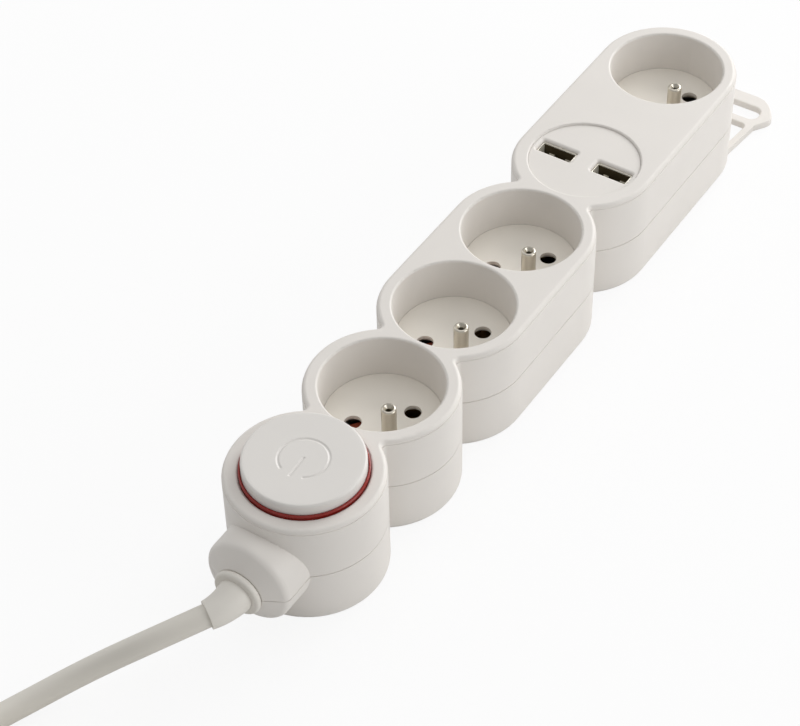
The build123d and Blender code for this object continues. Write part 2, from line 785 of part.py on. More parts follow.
def cord_sleeve():
    """Flexible sleeve: a flange held in the nose, a round collar and a tapered tube."""
    bend = sleeve_bend()
    sections = []
    for step in range(5):
        share = step / 4
        radius = sleeve_root_radius + (sleeve_tip_radius - sleeve_root_radius) * share
        sections.append(Plane(origin=bend @ share, z_dir=bend % share) * Circle(radius))
    tube = loft(sections)
    turned = disc(0, 0, 0, sleeve_root_radius, sleeve_straight + nose_wall + sleeve_neck + sleeve_flange)
    turned += disc(0, 0, sleeve_straight + sleeve_neck, sleeve_flange_radius, sleeve_flange)
    collar = disc(0, 0, sleeve_straight - sleeve_collar_width, sleeve_collar_radius, sleeve_collar_width)
    turned += fillet(collar.edges(), sleeve_collar_width * 0.42)
    root_x = nose_tip_x - sleeve_straight
    root = Pos(root_x, 0, parting_height) * Rot(0, 90, 0) * turned
    sleeve = root + tube
    bore = Pos(root_x + 1.5, 0, parting_height) * Rot(0, 90, 0) * disc(0, 0, 0, cord_radius, 30)
    return sleeve - bore


def cord_sheath():
    """The cable's sheath inside the housing, from the sleeve to past the clamp."""
    start = nose_tip_x - sleeve_straight + 1.5
    length = sheath_end_x - 0.05 - start
    return Pos(start, 0, parting_height) * Rot(0, 90, 0) * disc(0, 0, 0, cord_radius - 0.02, length)


def wire(points, radius):
    """One insulated wire along rounded corners."""
    path = FilletPolyline(*points, radius=radius)
    start = Plane(origin=path @ 0, z_dir=path % 0)
    return sweep(start * Circle(wire_radius), path=path)


def pole_wires(side):
    """Wires of one pole: cable to switch, and switch to contact bar."""
    blade_y = side * (module_width / 2 + blade_reach)
    blade_z = blade_height + bar_thickness + wire_radius + 0.05
    near = switch_x - module_length * 0.3
    far = switch_x + module_length * 0.3
    corner_x = switch_x - module_length / 2 - 1.6
    into = wire(
        [
            (sheath_end_x, side * 1.6, parting_height + 0.9),
            (sheath_end_x + 1.3, side * 1.6, parting_height + 0.9),
            (corner_x, blade_y + side * 1.4, 16.5),
            (near, blade_y, blade_z),
        ],
        0.5,
    )
    bar_top = bar_height + bar_thickness + wire_radius + 0.05
    onward = wire(
        [
            (far, blade_y, blade_z),
            (far + 4.0, blade_y, blade_z),
            (bar_start_x - 1.5, side * live_offset[1], bar_top + 0.8),
            (bar_start_x + 3.5, side * live_offset[1], bar_top),
        ],
        0.9,
    )
    return Compound(children=[into, onward])


def earth_wire():
    """Earth wire, past the switch module's side to the earth bar."""
    side_y = -(module_width / 2 + 4.8)
    bar_top = earth_bar_height + bar_thickness + wire_radius + 0.05
    return wire(
        [
            (sheath_end_x, 0, parting_height - 2.4),
            (sheath_end_x + 1.3, 0, parting_height - 2.4),
            (switch_x - module_length / 2 - 1.6, side_y, 9.0),
            (switch_x + module_length / 2 - 3.0, side_y, 13.5),
            (bar_start_x - 1.0, -0.4, bar_top + 0.6),
            (bar_start_x + 4.0, 0, bar_top),
        ],
        0.5,
    )


def tube_along(points):
    """Cable along straight runs joined by arcs as large as the runs allow."""
    spots = [Vector(*p) for p in points]
    runs = [(b - a).length for a, b in zip(spots, spots[1:])]
    radii = []
    for n in range(1, len(spots) - 1):
        turn = (spots[n] - spots[n - 1]).get_angle(spots[n + 1] - spots[n])
        reach = 0.45 * min(runs[n - 1], runs[n])
        radii.append(reach / math.tan(math.radians(turn / 2)))
    print("bend radii", [round(r, 1) for r in radii], "runs", [round(r, 1) for r in runs])
    path = FilletPolyline(*points, radius=radii)
    start = Plane(origin=path @ 0, z_dir=path % 0)
    tube = sweep(start * Circle(cord_radius), path=path)
    print("length", round(path.length, 1), "volume share", round(tube.volume / path.length / math.pi / cord_radius**2, 4))
    return tube


def cord():
    """Cable from the sleeve down to the floor and on to the coil."""
    tip = sleeve_bend() @ 1
    return tube_along([(tip.X, tip.Y, tip.Z)] + cord_route)


def cord_tail():
    """The cable's last stretch, from the coil to the plug."""
    return tube_along(tail_route)


def cord_coil():
    """The put-away length of cable, as the outer shape of its turns."""
    section = Pos(coil_radius, coil_height / 2) * RectangleRounded(2 * coil_half_width, coil_height, coil_soft)
    ring = revolve(Plane.XZ * section, Axis.Z)
    return Pos(coil_centre[0], coil_centre[1], 0) * ring


def plug_frame():
    """Frame of the plug: its axis is local +X, from the strain relief to the pins."""
    return Location(tail_route[-1], (0, 0, plug_heading))


def plug_body():
    """Round two-flat plug body with a conical back."""
    back = plug_relief_length
    outline = Polyline(
        (back, 0),
        (back, plug_neck_radius),
        (back + plug_body_length * 0.45, plug_body_radius),
        (back + plug_body_length, plug_body_radius),
        (back + plug_body_length, 0),
        close=True,
    )
    profile = make_face(outline)
    knee = [v for v in profile.vertices() if abs(v.Y - plug_body_radius) < 0.01 and v.X < back + plug_body_length - 1]
    profile = fillet(knee, 5.0)
    body = revolve(Plane.XZ * profile, Axis.X)
    body = body & (Pos(back + plug_body_length / 2, 0, 0) * Box(plug_body_length + 2, 60, 2 * plug_flat))
    for side in (-1, 1):
        hole = Rot(0, 90, 0) * disc(0, 0, 0, plug_pin_radius + 0.02, 12)
        body -= Pos(back + plug_body_length - 12, side * half_pitch, 0) * hole
    earth = Rot(0, 90, 0) * disc(0, 0, 0, plug_earth_radius, plug_earth_depth + 1)
    body -= Pos(back + plug_body_length - plug_earth_depth, 0, earth_offset) * earth
    return plug_frame() * body


def plug_relief():
    """Tapered strain relief between the cable and the plug."""
    outline = Polyline(
        (0, 0),
        (0, cord_radius + 0.9),
        (plug_relief_length, plug_relief_radius + 1.6),
        (plug_relief_length, 0),
        close=True,
    )
    cone = revolve(Plane.XZ * make_face(outline), Axis.X)
    for n in range(3):
        ring = Rot(0, 90, 0) * (disc(0, 0, 0, 12, 1.4) - disc(0, 0, 0, cord_radius + 0.6, 1.4))
        cone -= Pos(4.0 + 4.4 * n, 0, 0) * ring
    return plug_frame() * cone


def plug_pins():
    pins = []
    start = plug_relief_length + plug_body_length - 12
    for side in (-1, 1):
        pin = Rot(0, 90, 0) * disc(0, 0, 0, plug_pin_radius, plug_pin_length + 12)
        pin = chamfer(pin.edges().group_by(Axis.X)[-1], 1.0)
        pins.append(plug_frame() * Pos(start, side * half_pitch, 0) * pin)
    return Compound(children=pins)


def pieces():
    """Every piece of the strip, by name."""
    made = {
        "top_housing": top_housing(),
        "bottom_housing": bottom_housing(),
        "push_button": push_button(),
        "light_ring": light_ring(),
        "button_spring": button_spring(),
        "switch_module": switch_module(),
        "switch_plunger": switch_plunger(),
        "switch_terminals": switch_terminals(),
        "indicator_lamp": indicator_lamp(),
        "live_bar": contact_bar(live_offset),
        "neutral_bar": contact_bar(neutral_offset),
        "earth_bar": earth_bar(),
        "usb_cover": usb_cover(),
        "charger_board": charger_board(),
        "transformer": transformer(),
        "capacitors": capacitors(),
        "case_screws": case_screws(),
        "cord_clamp": cord_clamp(),
        "clamp_screws": clamp_screws(),
        "cord_sleeve": cord_sleeve(),
        "cord_sheath": cord_sheath(),
        "live_wires": pole_wires(1),
        "neutral_wires": pole_wires(-1),
        "earth_wire": earth_wire(),
        "cord": cord(),
        "cord_coil": cord_coil(),
        "cord_tail": cord_tail(),
        "plug_body": plug_body(),
        "plug_relief": plug_relief(),
        "plug_pins": plug_pins(),
    }
    for n, x in enumerate(socket_x, start=1):
        made[f"socket_floor_{n}"] = socket_floor(x)
        made[f"earth_pin_{n}"] = earth_pin(x)
        made[f"shutter_{n}"] = shutter(x)
    for n, (x, y) in enumerate(port_places(), start=1):
        made[f"usb_shell_{n}"] = usb_shell(x, y)
        made[f"usb_tongue_{n}"] = usb_tongue(x, y)
    return made


os.makedirs("parts", exist_ok=True)
for name, shape in pieces().items():
    export_step(shape, f"parts/{name}.step")
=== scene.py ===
# %% [markdown]
# # A four-way power strip with two USB ports
#
# The strip is a row of six round lobes moulded as one white housing: a big push switch, four
# recessed sockets and a pair of charging ports. The hard shapes come ready made from the packed
# CAD model. What is left for Blender is what CAD does badly: a soft lead that lies in curves,
# small sprung metal parts, and the finish of every surface.
#
# Everything is in metres, in the model's own frame: +X runs from the switch to the hanging loop,
# and +Z points up out of the sockets.

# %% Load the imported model
import json
import math

import bmesh
import bpy
from mathutils import Matrix, Vector


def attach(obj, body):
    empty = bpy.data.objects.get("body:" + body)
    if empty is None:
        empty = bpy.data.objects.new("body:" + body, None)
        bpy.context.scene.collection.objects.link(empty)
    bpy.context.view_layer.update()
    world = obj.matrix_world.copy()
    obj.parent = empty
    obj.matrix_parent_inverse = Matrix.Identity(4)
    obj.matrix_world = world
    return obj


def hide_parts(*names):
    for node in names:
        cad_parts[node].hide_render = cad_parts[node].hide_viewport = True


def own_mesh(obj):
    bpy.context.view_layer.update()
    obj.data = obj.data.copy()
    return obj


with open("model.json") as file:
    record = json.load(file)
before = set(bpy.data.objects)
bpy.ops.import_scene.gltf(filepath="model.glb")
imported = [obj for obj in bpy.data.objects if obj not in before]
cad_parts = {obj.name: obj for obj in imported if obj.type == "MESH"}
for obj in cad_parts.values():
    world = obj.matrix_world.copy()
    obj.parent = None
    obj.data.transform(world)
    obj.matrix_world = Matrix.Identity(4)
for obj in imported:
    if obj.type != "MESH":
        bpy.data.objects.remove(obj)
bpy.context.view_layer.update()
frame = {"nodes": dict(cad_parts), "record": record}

print("nodes:", len(frame["nodes"]))

# %% [markdown]
# ## The camera
#
# The photograph was taken with a long lens from high above the switch end, so the far socket is
# hardly smaller than the near one. The camera stands where a fit to the four socket rims puts it.
# Its three directions are given as rows: the picture's right, its down, and the way it looks.

# %% Camera at the photograph's angle
camera_place = Vector((-0.46366, -0.27203, 0.53085))
picture_right = Vector((0.54425297, -0.83873067, -0.01787628))
picture_down = Vector((-0.60283353, -0.37618258, -0.70361808))
looking = Vector((0.58342132, 0.39372265, -0.71035346))

camera_data = bpy.data.cameras.new("photo_camera")
camera_data.sensor_fit = "HORIZONTAL"
camera_data.sensor_width = 36.0
camera_data.lens = 101.02
camera_data.clip_start = 0.01
camera = bpy.data.objects.new("photo_camera", camera_data)
turn = Matrix((picture_right, -picture_down, -looking)).transposed()
camera.matrix_world = Matrix.Translation(camera_place) @ turn.to_4x4()
bpy.context.collection.objects.link(camera)
bpy.context.scene.camera = camera
print("camera distance from the base's middle:", round(camera_place.length, 3), "m")

# %% [markdown]
# ## The lead
#
# The real lead is a round white PVC cable, 7.4 mm thick. It leaves its sleeve level, sinks to the
# table and runs out of the picture. The rest of its metre and a half is wound into a coil beside
# the strip, nearly three turns on the table and a little over two on top of them.
#
# A lead is one smooth line, so it is one NURBS spline with a round bevel, and the same spline goes
# through the run, every turn of the coil and the tail to the plug. A quadratic spline cuts inside
# its control points, so the coil's points stand a little further out than its turns.

# %% The lead's route on the table
lead_radius = 0.0037
sleeve_tip = (-0.15925, 0.0028, 0.0194)
run_points = [
    sleeve_tip,
    (-0.17046, 0.0098, 0.0179),
    (-0.186, 0.0254, 0.0088),
    (-0.204, 0.0368, 0.0037),
    (-0.222, 0.0443, 0.0037),
    (-0.2543, 0.0521, 0.0037),
]
tail_points = [
    (-0.286, 0.0528, 0.0114),
    (-0.304, 0.0485, 0.0130),
    (-0.320, 0.0417, 0.0135),
]
coil_middle = Vector((-0.265, 0.008))
coil_columns = (0.0454, 0.0380, 0.0306)
coil_rows = (0.0037, 0.0111)
print("run:", len(run_points), "points, tail:", len(tail_points), "points")


# %% [markdown]
# Inside the coil each turn keeps its own circle and steps to the next one within a sixth of a
# turn. The steps come in a fixed order round the coil: the top layer steps outwards first, then
# the lead climbs from the bottom layer, then the bottom layer steps inwards. So no turn crosses
# another.

# %% The coil's turns
def eased(value, start, end):
    """0 before start, 1 after end, and smooth between them."""
    part = min(max((value - start) / (end - start), 0.0), 1.0)
    return part * part * (3.0 - 2.0 * part)


outer, middle, inner = coil_columns
entry_angle = 76.4
wound_angle = 1813.6
step_in = (290.0, 350.0)
climb = (955.0, 1010.0)
step_out = (20.0, 75.0)


def stepped(wound, sector, turns):
    """How far the step in this sector of the coil is done, so many whole turns after the start."""
    start, end = sector
    return eased(wound, 360.0 * turns + start, 360.0 * turns + end)


def coil_point(wound):
    """The lead's centre after it has wound this many degrees round the coil."""
    radius = outer
    radius -= (outer - middle) * stepped(wound, step_in, 0)
    radius -= (middle - inner) * stepped(wound, step_in, 1)
    radius += (middle - inner) * stepped(wound, step_out, 3)
    radius += (outer - middle) * stepped(wound, step_out, 4)
    height = coil_rows[0] + (coil_rows[1] - coil_rows[0]) * eased(wound, *climb)
    angle = math.radians(entry_angle + wound)
    return (
        coil_middle.x + radius * stand_off * math.cos(angle),
        coil_middle.y + radius * stand_off * math.sin(angle),
        height,
    )


points_per_turn = 18
coil_step = 360.0 / points_per_turn
stand_off = 1.0 / (0.75 + 0.25 * math.cos(math.radians(coil_step)))
coil_count = int(wound_angle / coil_step)
coil_points = [coil_point(coil_step * (n + 0.5)) for n in range(coil_count)]
lead_points = run_points + coil_points + tail_points
print("coil:", len(coil_points), "points, whole lead:", len(lead_points), "points")

# %% One spline for the whole lead
lead_curve = bpy.data.curves.new("lead", "CURVE")
lead_curve.dimensions = "3D"
lead_curve.resolution_u = 5
lead_curve.bevel_depth = lead_radius
lead_curve.bevel_resolution = 5
lead_curve.use_fill_caps = True
spline = lead_curve.splines.new("NURBS")
spline.points.add(len(lead_points) - 1)
for point, place in zip(spline.points, lead_points):
    point.co = (*place, 1.0)
spline.order_u = 3
spline.use_endpoint_u = True
lead = bpy.data.objects.new("lead", lead_curve)
bpy.context.collection.objects.link(lead)
bpy.context.view_layer.update()

# %% [markdown]
# ## Finishes
#
# Nearly every surface is moulded plastic. A mould's walls are spark-eroded, so the plastic carries
# a grain a few tenths of a millimetre wide, its gloss varies a little from place to place, and its
# colour is never quite even. One helper makes all three from noise, and each finish gives it its
# own colour, gloss and grain.

# %% Helper: a material with noise in its colour, gloss and surface
mottle_scale = 45.0
gloss_scale = 160.0
pit_strength = 0.6


def noise(nodes, links, where, scale, detail):
    """A noise texture on the object's own coordinates."""
    texture = nodes.new("ShaderNodeTexNoise")
    texture.inputs["Scale"].default_value = scale
    texture.inputs["Detail"].default_value = detail
    links.new(where.outputs["Object"], texture.inputs["Vector"])
    return texture


def spread(nodes, links, source, low, high):
    """The middle of a noise stretched to run from low to high."""
    stretch = nodes.new("ShaderNodeMapRange")
    stretch.inputs["From Min"].default_value = 0.3
    stretch.inputs["From Max"].default_value = 0.7
    stretch.inputs["To Min"].default_value = low
    stretch.inputs["To Max"].default_value = high
    links.new(source.outputs["Fac"], stretch.inputs["Value"])
    return stretch


def finish(name, colour, gloss=(0.45, 0.55), mottle=0.03, grain=0.0004, depth=0.00001, metal=0.0):
    """A procedural finish: faint mottling, uneven gloss and a fine surface grain."""
    material = bpy.data.materials.new(name)
    material.use_nodes = True
    nodes = material.node_tree.nodes
    links = material.node_tree.links
    shader = nodes["Principled BSDF"]
    where = nodes.new("ShaderNodeTexCoord")
    clouds = noise(nodes, links, where, mottle_scale, 3.0)
    shade = nodes.new("ShaderNodeMix")
    shade.data_type = "RGBA"
    shade.inputs["A"].default_value = (*[c * (1.0 - mottle) for c in colour], 1.0)
    shade.inputs["B"].default_value = (*[min(c * (1.0 + mottle), 1.0) for c in colour], 1.0)
    links.new(clouds.outputs["Fac"], shade.inputs["Factor"])
    links.new(shade.outputs["Result"], shader.inputs["Base Color"])
    patches = noise(nodes, links, where, gloss_scale, 2.0)
    rough = spread(nodes, links, patches, *gloss)
    links.new(rough.outputs["Result"], shader.inputs["Roughness"])
    pits = noise(nodes, links, where, 1.0 / grain, 2.0)
    bump = nodes.new("ShaderNodeBump")
    bump.inputs["Strength"].default_value = pit_strength
    bump.inputs["Distance"].default_value = depth
    links.new(pits.outputs["Fac"], bump.inputs["Height"])
    links.new(bump.outputs["Normal"], shader.inputs["Normal"])
    shader.inputs["Metallic"].default_value = metal
    return material


# %% The white plastics
housing_white = finish("housing_white", (0.75, 0.717, 0.676), gloss=(0.42, 0.52))
button_white = finish("button_white", (0.73, 0.705, 0.672), gloss=(0.34, 0.42), grain=0.0006)
floor_white = finish("floor_white", (0.84, 0.80, 0.73), gloss=(0.42, 0.52))
plug_white = finish("plug_white", (0.75, 0.717, 0.676), gloss=(0.40, 0.50))
sleeve_white = finish("sleeve_white", (0.73, 0.70, 0.645), gloss=(0.45, 0.6), depth=0.00002)
lead_white = finish(
    "lead_white", (0.69, 0.66, 0.60), gloss=(0.38, 0.5), grain=0.0012, depth=0.00003
)
print("white finishes: housing, button, socket floor, plug, sleeve and lead")

# %% The coloured plastics
ring_red = finish("ring_red", (0.27, 0.014, 0.008), gloss=(0.2, 0.3), mottle=0.08)
shutter_red = finish("shutter_red", (0.30, 0.055, 0.022), gloss=(0.4, 0.5), mottle=0.08)
tongue_black = finish("tongue_black", (0.035, 0.025, 0.012), gloss=(0.35, 0.5))
switch_black = finish("switch_black", (0.03, 0.03, 0.032), gloss=(0.4, 0.5))
board_green = finish("board_green", (0.03, 0.17, 0.07), gloss=(0.25, 0.4), mottle=0.1)
core_yellow = finish("core_yellow", (0.6, 0.42, 0.06), gloss=(0.3, 0.45), mottle=0.08)
can_dark = finish("can_dark", (0.03, 0.035, 0.09), gloss=(0.2, 0.3))
wire_brown = finish("wire_brown", (0.16, 0.06, 0.025))
wire_blue = finish("wire_blue", (0.03, 0.12, 0.42))
wire_green = finish("wire_green", (0.22, 0.42, 0.04), mottle=0.2)
lamp_glass = finish("lamp_glass", (0.85, 0.3, 0.15), gloss=(0.05, 0.1))
print("coloured finishes: ring, shutters, tongues, switch, USB parts, wires and lamp")

# %% The metals
pin_nickel = finish("pin_nickel", (0.62, 0.58, 0.50), gloss=(0.26, 0.38), mottle=0.06, metal=1.0)
port_metal = finish("port_metal", (0.86, 0.82, 0.72), gloss=(0.25, 0.35), metal=0.6)
bar_brass = finish("bar_brass", (0.72, 0.52, 0.24), gloss=(0.25, 0.35), metal=1.0)
screw_steel = finish("screw_steel", (0.55, 0.55, 0.56), gloss=(0.25, 0.35), metal=1.0)
spring_steel = finish("spring_steel", (0.56, 0.56, 0.56), gloss=(0.2, 0.3), metal=1.0)
pin_plating = finish("pin_plating", (0.66, 0.64, 0.60), gloss=(0.18, 0.28), metal=1.0)
print("metal finishes: pins, port rims, bars, screws, springs and plug pins")

# %% [markdown]
# The metal shell of a charging port is dull, and one finish paints a lit and a shaded copy of the
# same metal: its walls carry painted shade, dark as the inside of the port, and the two sprung
# fingers cut from its far wall, which catch the light, carry a painted highlight on their pale
# metal colour. Both are one stamping, so the finish tells them apart by place: what stands free of
# the walls is a finger, and it is the brighter.

# %% The port shells' metal: painted shade on the walls, a painted highlight on the fingers
port_x = 0.05375
port_clear_half = 0.0023
# The fingers' pale metal colour, raised as a painted highlight where they catch the light.
finger_painted_highlight = (0.95, 0.90, 0.78, 1.0)
# The dark base colour is painted shade standing in for the inside of the port.
shell_metal_painted_shade = finish("shell_metal_painted_shade", (0.11, 0.085, 0.045), gloss=(0.3, 0.4), metal=0.3)
shell_nodes = shell_metal_painted_shade.node_tree.nodes
shell_links = shell_metal_painted_shade.node_tree.links
shell_shader = shell_nodes["Principled BSDF"]
wall_painted_shade = shell_shader.inputs["Base Color"].links[0].from_socket
shell_place = shell_nodes.new("ShaderNodeTexCoord")
shell_axes = shell_nodes.new("ShaderNodeSeparateXYZ")
near_middle = shell_nodes.new("ShaderNodeMath")
near_middle.operation = "COMPARE"
near_middle.inputs[1].default_value = port_x
near_middle.inputs[2].default_value = port_clear_half
# This mix puts the painted highlight on the fingers and leaves the painted shade on the walls.
shade_and_highlight_mix = shell_nodes.new("ShaderNodeMix")
shade_and_highlight_mix.data_type = "RGBA"
shade_and_highlight_mix.inputs["B"].default_value = finger_painted_highlight
shell_links.new(shell_place.outputs["Object"], shell_axes.inputs["Vector"])
shell_links.new(shell_axes.outputs["X"], near_middle.inputs[0])
shell_links.new(near_middle.outputs["Value"], shade_and_highlight_mix.inputs["Factor"])
shell_links.new(wall_painted_shade, shade_and_highlight_mix.inputs["A"])
shell_links.new(shade_and_highlight_mix.outputs["Result"], shell_shader.inputs["Base Color"])
print("port shells: fingers within", 1000 * port_clear_half, "mm of the middle")

# %% [markdown]
# The record says which slot each CAD node has, so the finishes go on by slot, and only the socket
# floors and the port shells get one of their own.

# %% A finish for every CAD node
slot_finishes = {
    "housing_white": housing_white,
    "button_white": button_white,
    "ring_red": ring_red,
    "pin_nickel": pin_nickel,
    "port_metal": port_metal,
    "tongue_black": tongue_black,
    "shutter_red": shutter_red,
    "bar_brass": bar_brass,
    "spring_steel": spring_steel,
    "switch_black": switch_black,
    "lamp_glass": lamp_glass,
    "board_green": board_green,
    "core_yellow": core_yellow,
    "can_dark": can_dark,
    "screw_steel": screw_steel,
    "cord_white": lead_white,
    "sleeve_white": sleeve_white,
    "wire_brown": wire_brown,
    "wire_blue": wire_blue,
    "wire_green": wire_green,
    "plug_white": plug_white,
    "pin_brass": pin_plating,
}
for part in frame["record"]["subparts"]:
    node = frame["nodes"][part["node"]]
    coat = slot_finishes[part["material_slot"]]
    if part["node"].startswith("socket_floor"):
        coat = floor_white
    if part["node"].startswith("usb_shell"):
        coat = shell_metal_painted_shade
    node.data.materials.clear()
    node.data.materials.append(coat)

# %% The lead takes its finish and stands for its CAD solids
lead_curve.materials.append(lead_white)
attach(lead, "housing")
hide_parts("cord", "cord_coil", "cord_tail")

# %% [markdown]
# ## The push button
#
# The cap is a round moulding with a flat top, a small soft edge and a straight skirt, hollow
# below round the stem that presses the switch. A turned profile makes exactly that. The power
# symbol is a groove with soft sides, so the top has closely spaced rings of points, and the points
# near the symbol's centre line sink a little. A cut with sharp sides would show as two hair lines.

# %% Sizes of the button
button_middle = (-0.11225, 0.0)
button_radius = 0.0188
button_top = 0.0448
button_skirt_base = 0.036
button_underside = 0.0421
button_inner_radius = 0.0172
stem_radius = 0.004
stem_base = 0.0265
button_edge = 0.0008
symbol_radius = 0.0077
symbol_half_width = 0.00062
symbol_depth = 0.00028
symbol_gap = math.radians(31.0)
symbol_turn = math.radians(182.5)
print("button:", 2000 * button_radius, "mm across, symbol:", 2000 * symbol_radius, "mm")


# %% How far a point of the top lies from the symbol's centre line
def symbol_distance(x, y):
    """Distance to an open ring and to the bar that runs from its middle through the opening."""
    along = x * math.cos(symbol_turn) + y * math.sin(symbol_turn)
    across = y * math.cos(symbol_turn) - x * math.sin(symbol_turn)
    from_bar = math.hypot(along - min(max(along, 0.0), symbol_radius), across)
    if abs(math.atan2(across, along)) > symbol_gap:
        from_ring = abs(math.hypot(along, across) - symbol_radius)
    else:
        end_along = symbol_radius * math.cos(symbol_gap)
        end_across = symbol_radius * math.sin(symbol_gap)
        from_ring = math.hypot(along - end_along, abs(across) - end_across)
    return min(from_bar, from_ring)


def groove(x, y):
    """Depth of the symbol's groove at a point of the top, smooth from its edge to its middle."""
    return symbol_depth * eased(1.0 - symbol_distance(x, y) / symbol_half_width, 0.0, 1.0)


# %% The turned cap
edge_arc = [
    (
        button_radius - button_edge * (1.0 - math.cos(math.radians(turn))),
        button_top - button_edge * (1.0 - math.sin(math.radians(turn))),
    )
    for turn in range(0, 91, 15)
]
ring_spacing = 0.00014
points_per_ring = 240
ring_count = int((symbol_radius + 2 * symbol_half_width) / ring_spacing)
top_rings = [(ring_spacing * n, button_top) for n in range(ring_count, 0, -1)]
cap_profile = [
    (stem_radius, stem_base),
    (stem_radius, button_underside),
    (button_inner_radius, button_underside),
    (button_inner_radius, button_skirt_base),
    (button_radius, button_skirt_base),
    (button_radius, button_top - 2 * button_edge),
]
cap_profile += edge_arc + [(button_radius - 2 * button_edge, button_top)] + top_rings


def turned(name, profile, middle, steps, sink):
    """A closed turned solid: rings of points from the stem's foot to the middle of the top."""
    shape = bmesh.new()
    rings = []
    for radius, height in profile:
        ring = []
        for n in range(steps):
            x = radius * math.cos(math.tau * n / steps)
            y = radius * math.sin(math.tau * n / steps)
            drop = sink(x, y) if height == profile[-1][1] else 0.0
            ring.append(shape.verts.new((middle[0] + x, middle[1] + y, height - drop)))
        rings.append(ring)
    for low, high in zip(rings, rings[1:]):
        for n in range(steps):
            m = (n + 1) % steps
            shape.faces.new((low[n], low[m], high[m], high[n]))
    foot = shape.verts.new((*middle, profile[0][1]))
    peak = shape.verts.new((*middle, profile[-1][1] - sink(0.0, 0.0)))
    for n in range(steps):
        m = (n + 1) % steps
        shape.faces.new((foot, rings[0][m], rings[0][n]))
        shape.faces.new((peak, rings[-1][n], rings[-1][m]))
    bmesh.ops.recalc_face_normals(shape, faces=shape.faces[:])
    for face in shape.faces:
        face.smooth = True
    mesh = bpy.data.meshes.new(name)
    shape.to_mesh(mesh)
    shape.free()
    piece = bpy.data.objects.new(name, mesh)
    bpy.context.collection.objects.link(piece)
    return piece


cap = turned("button_cap", cap_profile, button_middle, points_per_ring, groove)
cap.data.set_sharp_from_angle(angle=math.radians(40.0))
cap.data.materials.append(button_white)
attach(cap, "button")
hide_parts("push_button")
print("button cap:", len(cap.data.polygons), "faces")

# %% [markdown]
# ## Bands bent round a rounded rectangle
#
# Three things on this strip are the same shape at different sizes: a flat band that follows a
# rectangle with round corners. One is the bright rim on top of each charging port's metal shell.
# One is the tie that holds the coiled lead. The third is the crown of the red light ring, where
# the corners are so round that they meet as a circle. So one node tree makes the band from named
# sizes, sets a copy on every point it is given, and serves all three.

# %% Helper: a node tree with named sizes
def tree_with_sizes(name, labels):
    """An empty geometry tree with a number input for each label, and its two end nodes."""
    tree = bpy.data.node_groups.new(name, "GeometryNodeTree")
    tree.interface.new_socket("Geometry", in_out="INPUT", socket_type="NodeSocketGeometry")
    for label in labels:
        tree.interface.new_socket(label, in_out="INPUT", socket_type="NodeSocketFloat")
    tree.interface.new_socket("Geometry", in_out="OUTPUT", socket_type="NodeSocketGeometry")
    return tree, tree.nodes.new("NodeGroupInput"), tree.nodes.new("NodeGroupOutput")


def close_tree(tree, start, end, shape, coat):
    """Set the shape on every point, make it real and give it its finish."""
    copies = tree.nodes.new("GeometryNodeInstanceOnPoints")
    real = tree.nodes.new("GeometryNodeRealizeInstances")
    dressed = tree.nodes.new("GeometryNodeSetMaterial")
    dressed.inputs["Material"].default_value = coat
    tree.links.new(start.outputs["Geometry"], copies.inputs["Points"])
    tree.links.new(shape, copies.inputs["Instance"])
    tree.links.new(copies.outputs["Instances"], real.inputs["Geometry"])
    tree.links.new(real.outputs["Geometry"], dressed.inputs["Geometry"])
    tree.links.new(dressed.outputs["Geometry"], end.inputs["Geometry"])


def grown(name, places, tree, sizes):
    """Run a tree on loose points and keep what it makes as a plain mesh."""
    seeds = bpy.data.meshes.new(name)
    seeds.from_pydata(places, [], [])
    piece = bpy.data.objects.new(name, seeds)
    bpy.context.collection.objects.link(piece)
    modifier = piece.modifiers.new("grow", "NODES")
    modifier.node_group = tree
    for item in tree.interface.items_tree:
        if item.in_out == "INPUT" and item.name in sizes:
            modifier[item.identifier] = sizes[item.name]
    bpy.context.view_layer.update()
    result = piece.evaluated_get(bpy.context.evaluated_depsgraph_get())
    mesh = bpy.data.meshes.new_from_object(result)
    piece.modifiers.remove(modifier)
    piece.data = mesh
    print(name + ":", len(mesh.polygons), "faces at", len(places), "places")
    return piece


# %% The band's node tree
def band_tree(name, coat, corner_points):
    """A closed flat band round a rounded rectangle, tilted and turned into its place."""
    labels = ("length", "width", "corner", "band", "gauge", "tilt", "turn")
    tree, start, end = tree_with_sizes(name, labels)
    route = tree.nodes.new("GeometryNodeCurvePrimitiveQuadrilateral")
    rounded = tree.nodes.new("GeometryNodeFilletCurve")
    rounded.mode = "POLY"
    rounded.inputs["Count"].default_value = corner_points
    section = tree.nodes.new("GeometryNodeCurvePrimitiveQuadrilateral")
    bent = tree.nodes.new("GeometryNodeCurveToMesh")
    placed = tree.nodes.new("GeometryNodeTransform")
    angles = tree.nodes.new("ShaderNodeCombineXYZ")
    tree.links.new(start.outputs["length"], route.inputs["Width"])
    tree.links.new(start.outputs["width"], route.inputs["Height"])
    tree.links.new(route.outputs["Curve"], rounded.inputs["Curve"])
    tree.links.new(start.outputs["corner"], rounded.inputs["Radius"])
    tree.links.new(start.outputs["gauge"], section.inputs["Width"])
    tree.links.new(start.outputs["band"], section.inputs["Height"])
    tree.links.new(rounded.outputs["Curve"], bent.inputs["Curve"])
    tree.links.new(section.outputs["Curve"], bent.inputs["Profile Curve"])
    tree.links.new(start.outputs["tilt"], angles.inputs["X"])
    tree.links.new(start.outputs["turn"], angles.inputs["Z"])
    tree.links.new(bent.outputs["Mesh"], placed.inputs["Geometry"])
    tree.links.new(angles.outputs["Vector"], placed.inputs["Rotation"])
    close_tree(tree, start, end, placed.outputs["Geometry"], coat)
    return tree


